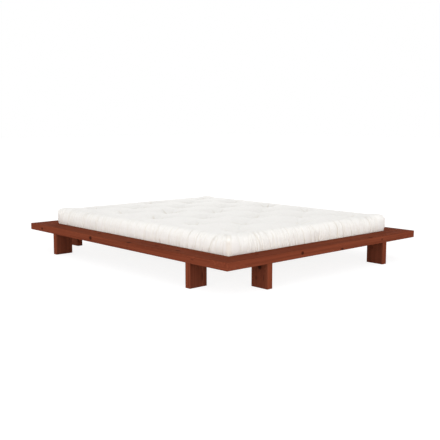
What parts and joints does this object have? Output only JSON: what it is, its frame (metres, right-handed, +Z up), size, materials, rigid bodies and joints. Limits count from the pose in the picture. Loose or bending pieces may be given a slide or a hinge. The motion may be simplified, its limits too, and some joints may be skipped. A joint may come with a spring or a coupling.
{
  "type": "futon bed frame",
  "caption": "Low platform bed of flat stained pine boards on short board legs, with a slatted base in a broad open ledge and a loose tufted cotton futon that lifts off.",
  "frame": {"origin": "on the floor under the middle of the bed", "axes": "+Z up; +Y along the bed towards the head end; +X across it, to the right as seen from the foot end"},
  "size_m": [1.9, 2.3, 0.3313],
  "materials": {
    "stained_pine": "matte",
    "plain_pine": "matte",
    "black_steel": "satin",
    "zinc_steel": "satin",
    "brass": "satin",
    "woven_ribbon": "matte",
    "cotton_cover": "matte",
    "tie_yarn": "matte",
    "cotton_wadding": "matte",
    "foam": "matte"
  },
  "bodies": {
    "frame": {"left_rail": "stained_pine", "right_rail": "stained_pine", "foot_rail": "stained_pine", "head_rail": "stained_pine", "left_leg_foot": "stained_pine", "left_leg_head": "stained_pine", "right_leg_foot": "stained_pine", "right_leg_head": "stained_pine", "foot_leg_left": "stained_pine", "foot_leg_right": "stained_pine", "head_leg_left": "stained_pine", "head_leg_right": "stained_pine", "slat_01": "plain_pine", "slat_02": "plain_pine", "slat_03": "plain_pine", "slat_04": "plain_pine", "slat_05": "plain_pine", "slat_06": "plain_pine", "slat_07": "plain_pine", "slat_08": "plain_pine", "slat_09": "plain_pine", "slat_10": "plain_pine", "slat_11": "plain_pine", "slat_12": "plain_pine", "slat_13": "plain_pine", "slat_14": "plain_pine", "slat_15": "plain_pine", "centre_beam": "plain_pine", "centre_leg_1": "plain_pine", "centre_leg_2": "plain_pine", "centre_leg_3": "plain_pine", "left_ledger_angle": "black_steel", "right_ledger_angle": "black_steel", "beam_hanger_foot": "black_steel", "beam_hanger_head": "black_steel", "leg_bolts": "zinc_steel", "leg_washers": "zinc_steel", "corner_bolts": "zinc_steel", "ledger_screws": "zinc_steel", "slat_screws": "zinc_steel", "hanger_screws": "zinc_steel", "centre_leg_screws": "zinc_steel", "ribbon_staples": "zinc_steel", "leg_inserts": "brass", "corner_inserts": "brass", "slat_ribbon_left": "woven_ribbon", "slat_ribbon_right": "woven_ribbon"},
    "futon": {"futon_cover": "cotton_cover", "upper_wadding": "cotton_wadding", "foam_core": "foam", "lower_wadding": "cotton_wadding", "tuft_ties": "tie_yarn"}
  },
  "joints": [
    {"name": "futon_lift", "type": "slide", "parent": "frame", "child": "futon", "axis": [0, 0, 1], "range_m": [0, 0.3]}
  ]
}
